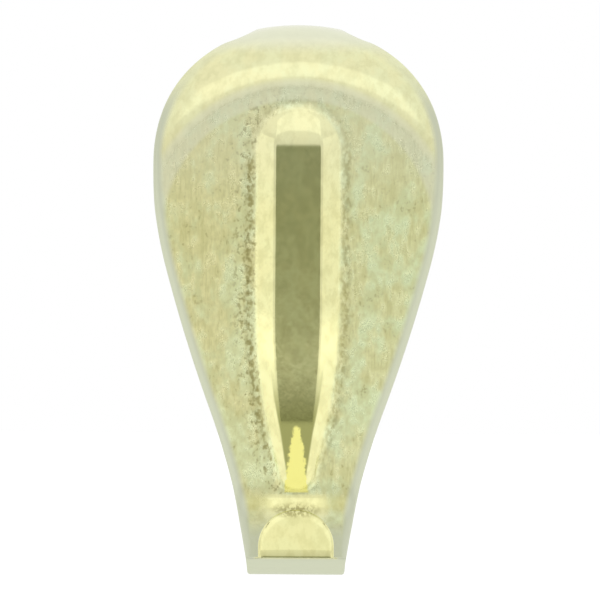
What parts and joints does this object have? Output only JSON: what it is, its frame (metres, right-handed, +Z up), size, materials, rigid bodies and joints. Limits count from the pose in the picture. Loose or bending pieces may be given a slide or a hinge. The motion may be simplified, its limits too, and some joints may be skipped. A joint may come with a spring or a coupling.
{
  "type": "picture hook",
  "caption": "Pressed brass picture rail hook: domed teardrop face with a central rib, a curl over the rail at the top and an upturned wire hook at the foot.",
  "frame": {"origin": "middle of the curl's inner crest, where the top of the picture rail's nose seats", "axes": "+Z up along the face, -Y out of the front of the face, +X to the right as seen from the front"},
  "size_m": [0.03, 0.0227, 0.0562],
  "materials": {
    "brass_sheet": "polished, lightly handled"
  },
  "bodies": {
    "root": {"picture_hook": "brass_sheet"}
  },
  "joints": []
}
